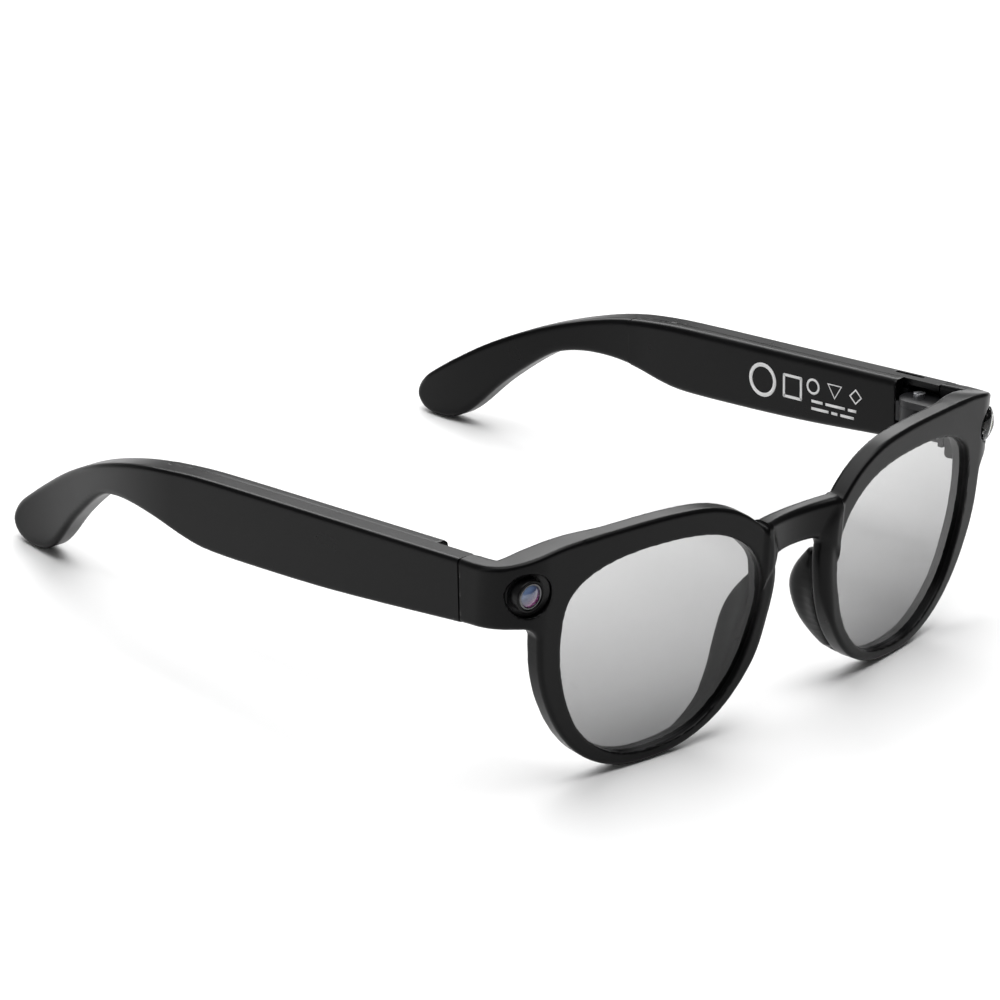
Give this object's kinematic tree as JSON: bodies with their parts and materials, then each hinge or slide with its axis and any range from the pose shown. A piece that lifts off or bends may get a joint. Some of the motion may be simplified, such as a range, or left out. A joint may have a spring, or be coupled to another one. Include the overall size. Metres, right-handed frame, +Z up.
{
  "type": "smart glasses",
  "caption": "Camera glasses with tinted lenses set in a moulded front, a camera and a lamp at the outer corners, and folding temples that hold electronics.",
  "frame": {"origin": "centre of the bounding box, on the table, with the temples open", "axes": "+Z up, +Y backwards along the temples, -Y the way the wearer looks, +X towards the wearer's left"},
  "size_m": [0.144, 0.1604, 0.049],
  "materials": {
    "frame": "satin moulded black",
    "trim": "fine matt black",
    "pads": "soft matt black",
    "lens": "neutral grey tint, polished",
    "optic": "coated, blue and violet sheen",
    "window": "clear domed window",
    "steel": "fine machined",
    "silver": "turned",
    "hinge": "black coated steel",
    "board": "circuit board with solder mask",
    "chip": "moulded package",
    "cell": "foil pouch cell",
    "lamp": "phosphor yellow",
    "mesh": "woven mesh",
    "contact": "gold plated",
    "flex": "polyimide film"
  },
  "bodies": {
    "front": {"front_frame": "frame", "lens_right": "lens", "lens_left": "lens", "nose_pad_right": "pads", "nose_pad_left": "pads", "end_cover_right": "trim", "end_cover_left": "trim", "camera_bezel": "trim", "camera_barrel": "trim", "camera_ring": "silver", "camera_lens": "optic", "camera_module": "chip", "camera_board": "board", "lamp_window": "window", "lamp_gasket": "pads", "lamp_chip": "lamp", "lamp_board": "board", "hinge_front_right": "hinge", "hinge_front_left": "hinge", "hinge_screw_right": "steel", "hinge_screw_left": "steel"},
    "temple_right": {"temple_shell_right": "frame", "temple_cover_right": "frame", "hinge_temple_right": "hinge", "battery_right": "cell", "main_board": "board", "board_chips": "chip", "speaker_right": "chip", "speaker_grille_right": "mesh", "touch_sensor": "flex", "button_switch": "silver", "charge_contacts": "contact", "charge_magnets": "steel", "core_wire_right": "steel", "cover_screws_right": "steel"},
    "temple_left": {"temple_shell_left": "frame", "temple_cover_left": "frame", "hinge_temple_left": "hinge", "battery_left": "cell", "sub_board": "board", "speaker_left": "chip", "speaker_grille_left": "mesh", "slot_mesh": "mesh", "microphone": "chip", "core_wire_left": "steel", "cover_screws_left": "steel"},
    "button": {"capture_button": "trim"}
  },
  "joints": [
    {"name": "fold_left", "type": "hinge", "parent": "front", "child": "temple_left", "pos_m": [0.0663, -0.05512, 0.03751], "axis": [0, 0.0953, 0.9954], "range_deg": [0, 90]},
    {"name": "fold_right", "type": "hinge", "parent": "front", "child": "temple_right", "pos_m": [-0.0663, -0.05512, 0.03751], "axis": [0, -0.0953, -0.9954], "range_deg": [0, 80]},
    {"name": "button_press", "type": "slide", "parent": "temple_right", "child": "button", "axis": [0, 0.1542, 0.988], "range_m": [0, 0.0004], "stiffness_N_per_m": 3000, "springref_m": -0.0001}
  ]
}
